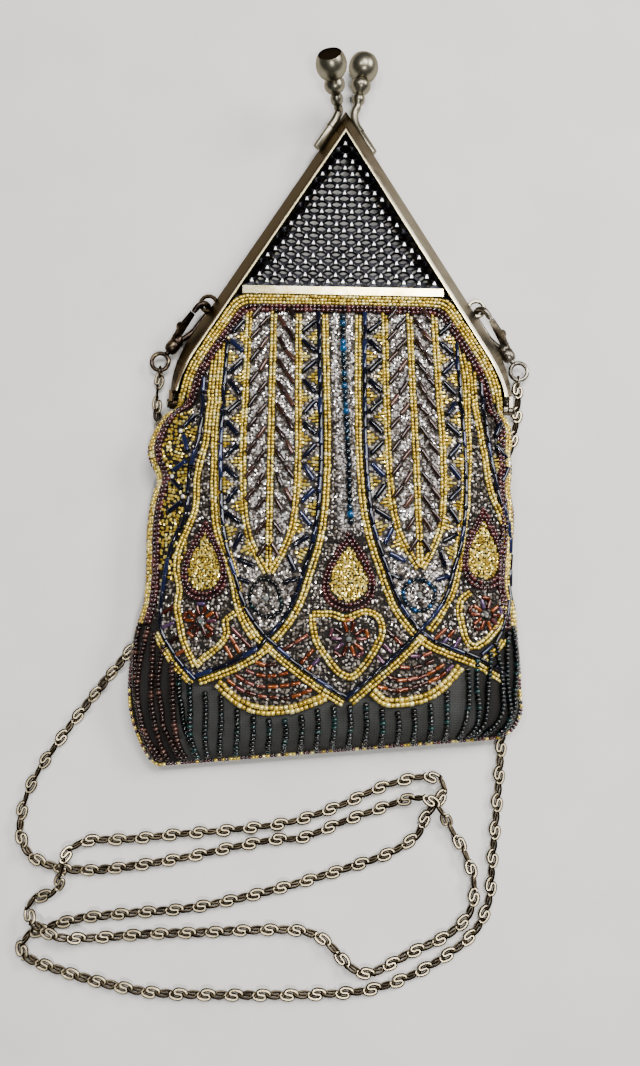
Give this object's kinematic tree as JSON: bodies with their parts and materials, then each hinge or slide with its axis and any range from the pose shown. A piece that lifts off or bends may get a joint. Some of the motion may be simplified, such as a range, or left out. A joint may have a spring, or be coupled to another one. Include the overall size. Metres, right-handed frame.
{
  "type": "beaded evening bag",
  "caption": "Beaded evening bag lying on its back: a soft hollow pouch on a triangular kiss-lock frame with pierced panels, turned knobs, sprung clips and a long chain strap.",
  "frame": {"origin": "on the flat of the pouch's back, in the plane that the bag lies on, under the middle of the pouch", "axes": "+X the bag's right seen from the front, +Y up the bag to its clasp, +Z out of its front, away from the surface"},
  "size_m": [0.202, 0.3899, 0.0354],
  "materials": {
    "beaded_cloth": "cloth closely sewn with glass beads, glittering",
    "antique_brass": "antiqued, satin, worn bright on the edges",
    "bright_brass": "polished",
    "dark_antique_brass": "dark antiqued, bright on raised edges",
    "dark_pierced_metal": "blackened, semi-gloss"
  },
  "bodies": {
    "bag": {"pouch": "beaded_cloth", "front_frame": "antique_brass", "back_frame": "antique_brass", "left_hinge_pin": "antique_brass", "right_hinge_pin": "antique_brass", "front_grille": "dark_pierced_metal", "back_grille": "dark_pierced_metal", "front_bar": "bright_brass", "back_bar": "bright_brass", "front_knob": "antique_brass", "back_knob": "antique_brass", "left_clip_hook": "dark_antique_brass", "left_clip_eye": "dark_antique_brass", "right_clip_hook": "dark_antique_brass", "right_clip_eye": "dark_antique_brass", "chain_left": "dark_antique_brass", "chain_right": "dark_antique_brass"},
    "left_lever": {"left_clip_lever": "dark_antique_brass"},
    "right_lever": {"right_clip_lever": "dark_antique_brass"}
  },
  "joints": [
    {"name": "left_lever_hinge", "type": "hinge", "parent": "bag", "child": "left_lever", "pos_m": [-0.06883, 0.09357, 0.00696], "axis": [-0.6488, 0.5758, -0.4975], "range_deg": [0, 16], "stiffness_Nm_per_rad": 0.05},
    {"name": "right_lever_hinge", "type": "hinge", "parent": "bag", "child": "right_lever", "pos_m": [0.06792, 0.09282, 0.00696], "axis": [-0.6826, -0.5353, 0.4975], "range_deg": [0, 16], "stiffness_Nm_per_rad": 0.05}
  ]
}
